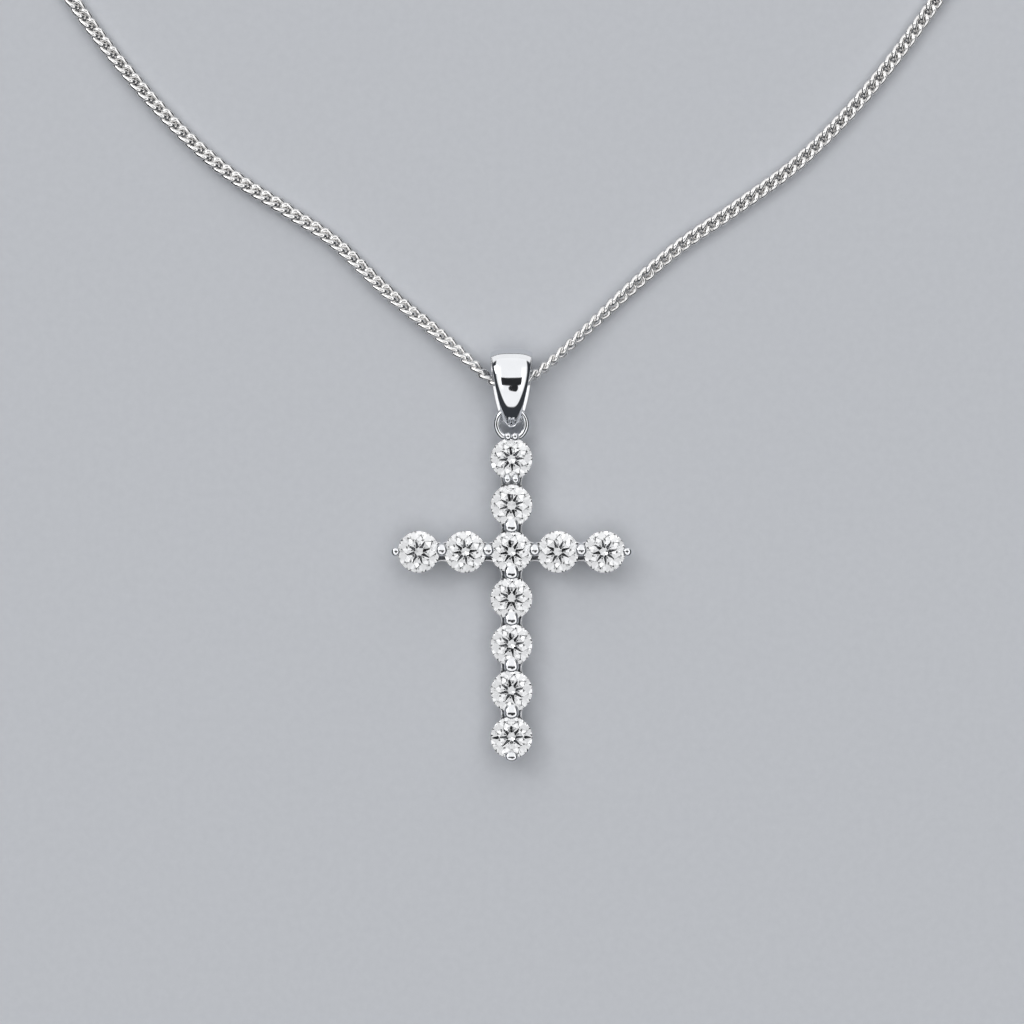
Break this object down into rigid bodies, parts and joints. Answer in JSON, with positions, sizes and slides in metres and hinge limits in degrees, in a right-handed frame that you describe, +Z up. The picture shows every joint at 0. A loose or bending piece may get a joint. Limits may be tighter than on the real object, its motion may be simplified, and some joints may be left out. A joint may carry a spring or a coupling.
{
  "type": "cross pendant",
  "caption": "Cross pendant set with round clear stones in shared claws, hung by a soldered ring in a tapered bail on a fine curb chain with a ring clasp, laid flat.",
  "frame": {"origin": "on the surface that the necklace lies on, at the middle of its outline", "axes": "+Z up from the surface, out of the faces of the stones; +Y from the foot of the cross to the clasp; +X to the right seen from above"},
  "size_m": [0.1226, 0.1974, 0.0029],
  "materials": {
    "white_metal": "polished, rhodium plated",
    "clear_stone": "polished facets"
  },
  "bodies": {
    "root": {"cross_frame": "white_metal", "bail": "white_metal", "chain": "white_metal", "clasp": "white_metal", "stone_upper_1": "clear_stone", "stone_upper_2": "clear_stone", "stone_centre": "clear_stone", "stone_lower_1": "clear_stone", "stone_lower_2": "clear_stone", "stone_lower_3": "clear_stone", "stone_lower_4": "clear_stone", "stone_left_1": "clear_stone", "stone_left_2": "clear_stone", "stone_right_1": "clear_stone", "stone_right_2": "clear_stone"}
  },
  "joints": []
}
